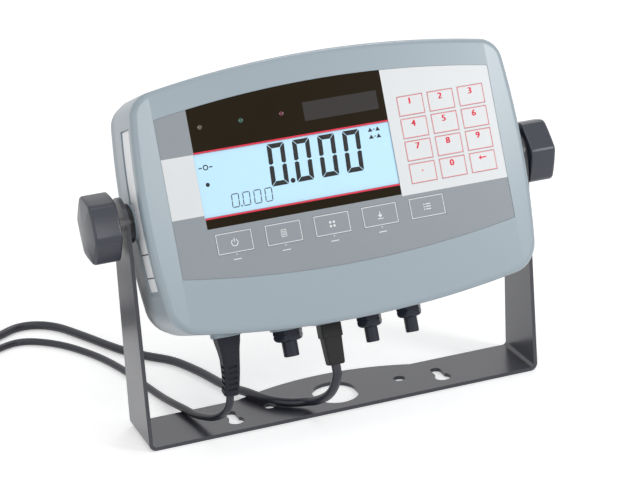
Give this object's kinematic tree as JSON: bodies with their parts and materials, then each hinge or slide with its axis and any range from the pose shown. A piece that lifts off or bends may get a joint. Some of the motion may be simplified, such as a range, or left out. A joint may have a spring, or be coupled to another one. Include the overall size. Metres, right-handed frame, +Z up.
{
  "type": "weighing indicator",
  "caption": "Tilting weighing indicator: wide moulded housing with a display and a key panel, clamped by two knobs in a folded steel stand, with its cords.",
  "frame": {"origin": "centre of the underside of the stand's base, on the table, measured without the cords", "axes": "+X to the right seen from the front and along the tilt axis, +Y to the back, +Z up"},
  "size_m": [0.4634, 0.3676, 0.2361],
  "materials": {
    "bracket_paint": "satin powder coat",
    "housing_plastic": "fine texture",
    "knob_plastic": "fine texture",
    "stud_steel": "zinc plated",
    "friction_rubber": "slightly glossy",
    "seal_rubber": "matt",
    "insert_brass": "turned",
    "panel_foil": "satin printed foil",
    "window_clear": "clear foil",
    "display_glass": "flat",
    "light_plate": "diffusing",
    "black_plastic": "moulded",
    "led_lens": "diffused",
    "switch_foil": "printed foil",
    "key_foil": "satin",
    "board_green": "solder mask",
    "terminal_green": "moulded",
    "core_steel": "varnished laminations",
    "gland_plastic": "moulded nylon",
    "connector_plastic": "moulded",
    "socket_metal": "tinned",
    "pin_brass": "bare",
    "cord_jacket": "slightly glossy"
  },
  "bodies": {
    "bracket": {"mounting_bracket": "bracket_paint", "power_cord_lead": "cord_jacket", "power_cord_coil": "cord_jacket", "power_cord_tie": "black_plastic", "power_plug_body": "black_plastic", "power_plug_pins": "pin_brass", "data_cord_lead": "cord_jacket", "data_cord_coil": "cord_jacket", "data_cord_tie": "black_plastic", "data_plug_hood": "connector_plastic", "data_plug_shell": "socket_metal"},
    "left_clamp": {"left_clamp_washer": "stud_steel"},
    "left_knob_body": {"left_knob": "knob_plastic", "left_knob_stud": "stud_steel"},
    "right_clamp": {"right_clamp_washer": "stud_steel"},
    "right_knob_body": {"right_knob": "knob_plastic", "right_knob_stud": "stud_steel"},
    "housing": {"front_housing": "housing_plastic", "rear_cover": "housing_plastic", "cover_screws": "stud_steel", "board_screws": "stud_steel", "friction_washers": "friction_rubber", "housing_gasket": "seal_rubber", "pivot_inserts": "insert_brass", "panel_overlay": "panel_foil", "display_window": "window_clear", "lcd_glass": "display_glass", "backlight": "light_plate", "display_frame": "black_plastic", "status_leds": "led_lens", "keypad_circuit": "switch_foil", "main_board": "board_green", "power_board": "board_green", "terminal_blocks": "terminal_green", "transformer": "core_steel", "gland_bodies": "gland_plastic", "gland_nuts": "gland_plastic", "gland_plugs": "gland_plastic", "gland_locknuts": "gland_plastic", "cord_boot": "gland_plastic", "data_connector": "connector_plastic", "data_socket": "socket_metal"},
    "key_on_zero_body": {"key_on_zero": "key_foil"},
    "key_print_body": {"key_print": "key_foil"},
    "key_function_body": {"key_function": "key_foil"},
    "key_tare_body": {"key_tare": "key_foil"},
    "key_library_body": {"key_library": "key_foil"},
    "key_1_body": {"key_1": "key_foil"},
    "key_2_body": {"key_2": "key_foil"},
    "key_3_body": {"key_3": "key_foil"},
    "key_4_body": {"key_4": "key_foil"},
    "key_5_body": {"key_5": "key_foil"},
    "key_6_body": {"key_6": "key_foil"},
    "key_7_body": {"key_7": "key_foil"},
    "key_8_body": {"key_8": "key_foil"},
    "key_9_body": {"key_9": "key_foil"},
    "key_dot_body": {"key_dot": "key_foil"},
    "key_0_body": {"key_0": "key_foil"},
    "key_clear_body": {"key_clear": "key_foil"}
  },
  "joints": [
    {"name": "tilt", "type": "hinge", "parent": "bracket", "child": "housing", "pos_m": [0, 0, 0.1455], "axis": [1, 0, 0], "range_deg": [-24, 36], "deforming": ["power_cord_lead", "data_cord_lead"]},
    {"name": "left_clamp_loosening", "type": "slide", "parent": "bracket", "child": "left_clamp", "axis": [-1, 0, 0], "range_m": [-0.0032, 0.0025]},
    {"name": "left_knob_turn", "type": "hinge", "parent": "left_clamp", "child": "left_knob_body", "pos_m": [-0.14, 0, 0.1455], "axis": [-1, 0, 0], "range_deg": [-921, 720]},
    {"name": "right_clamp_loosening", "type": "slide", "parent": "bracket", "child": "right_clamp", "axis": [1, 0, 0], "range_m": [0, 0.0025]},
    {"name": "right_knob_turn", "type": "hinge", "parent": "right_clamp", "child": "right_knob_body", "pos_m": [0.14, 0, 0.1455], "axis": [1, 0, 0], "range_deg": [0, 720]},
    {"name": "key_on_zero_press", "type": "slide", "parent": "housing", "child": "key_on_zero_body", "axis": [0, 0.9336, -0.3584], "range_m": [0, 0.00035], "stiffness_N_per_m": 3000, "springref_m": -0.0002},
    {"name": "key_print_press", "type": "slide", "parent": "housing", "child": "key_print_body", "axis": [0, 0.9336, -0.3584], "range_m": [0, 0.00035], "stiffness_N_per_m": 3000, "springref_m": -0.0002},
    {"name": "key_function_press", "type": "slide", "parent": "housing", "child": "key_function_body", "axis": [0, 0.9336, -0.3584], "range_m": [0, 0.00035], "stiffness_N_per_m": 3000, "springref_m": -0.0002},
    {"name": "key_tare_press", "type": "slide", "parent": "housing", "child": "key_tare_body", "axis": [0, 0.9336, -0.3584], "range_m": [0, 0.00035], "stiffness_N_per_m": 3000, "springref_m": -0.0002},
    {"name": "key_library_press", "type": "slide", "parent": "housing", "child": "key_library_body", "axis": [0, 0.9336, -0.3584], "range_m": [0, 0.00035], "stiffness_N_per_m": 3000, "springref_m": -0.0002},
    {"name": "key_1_press", "type": "slide", "parent": "housing", "child": "key_1_body", "axis": [0, 0.9336, -0.3584], "range_m": [0, 0.00035], "stiffness_N_per_m": 3000, "springref_m": -0.0002},
    {"name": "key_2_press", "type": "slide", "parent": "housing", "child": "key_2_body", "axis": [0, 0.9336, -0.3584], "range_m": [0, 0.00035], "stiffness_N_per_m": 3000, "springref_m": -0.0002},
    {"name": "key_3_press", "type": "slide", "parent": "housing", "child": "key_3_body", "axis": [0, 0.9336, -0.3584], "range_m": [0, 0.00035], "stiffness_N_per_m": 3000, "springref_m": -0.0002},
    {"name": "key_4_press", "type": "slide", "parent": "housing", "child": "key_4_body", "axis": [0, 0.9336, -0.3584], "range_m": [0, 0.00035], "stiffness_N_per_m": 3000, "springref_m": -0.0002},
    {"name": "key_5_press", "type": "slide", "parent": "housing", "child": "key_5_body", "axis": [0, 0.9336, -0.3584], "range_m": [0, 0.00035], "stiffness_N_per_m": 3000, "springref_m": -0.0002},
    {"name": "key_6_press", "type": "slide", "parent": "housing", "child": "key_6_body", "axis": [0, 0.9336, -0.3584], "range_m": [0, 0.00035], "stiffness_N_per_m": 3000, "springref_m": -0.0002},
    {"name": "key_7_press", "type": "slide", "parent": "housing", "child": "key_7_body", "axis": [0, 0.9336, -0.3584], "range_m": [0, 0.00035], "stiffness_N_per_m": 3000, "springref_m": -0.0002},
    {"name": "key_8_press", "type": "slide", "parent": "housing", "child": "key_8_body", "axis": [0, 0.9336, -0.3584], "range_m": [0, 0.00035], "stiffness_N_per_m": 3000, "springref_m": -0.0002},
    {"name": "key_9_press", "type": "slide", "parent": "housing", "child": "key_9_body", "axis": [0, 0.9336, -0.3584], "range_m": [0, 0.00035], "stiffness_N_per_m": 3000, "springref_m": -0.0002},
    {"name": "key_dot_press", "type": "slide", "parent": "housing", "child": "key_dot_body", "axis": [0, 0.9336, -0.3584], "range_m": [0, 0.00035], "stiffness_N_per_m": 3000, "springref_m": -0.0002},
    {"name": "key_0_press", "type": "slide", "parent": "housing", "child": "key_0_body", "axis": [0, 0.9336, -0.3584], "range_m": [0, 0.00035], "stiffness_N_per_m": 3000, "springref_m": -0.0002},
    {"name": "key_clear_press", "type": "slide", "parent": "housing", "child": "key_clear_body", "axis": [0, 0.9336, -0.3584], "range_m": [0, 0.00035], "stiffness_N_per_m": 3000, "springref_m": -0.0002}
  ],
  "couplings": [
    {"joint": "left_clamp_loosening", "follows": "left_knob_turn", "m_per_rad": 0.000199},
    {"joint": "right_clamp_loosening", "follows": "right_knob_turn", "m_per_rad": 0.000199}
  ]
}
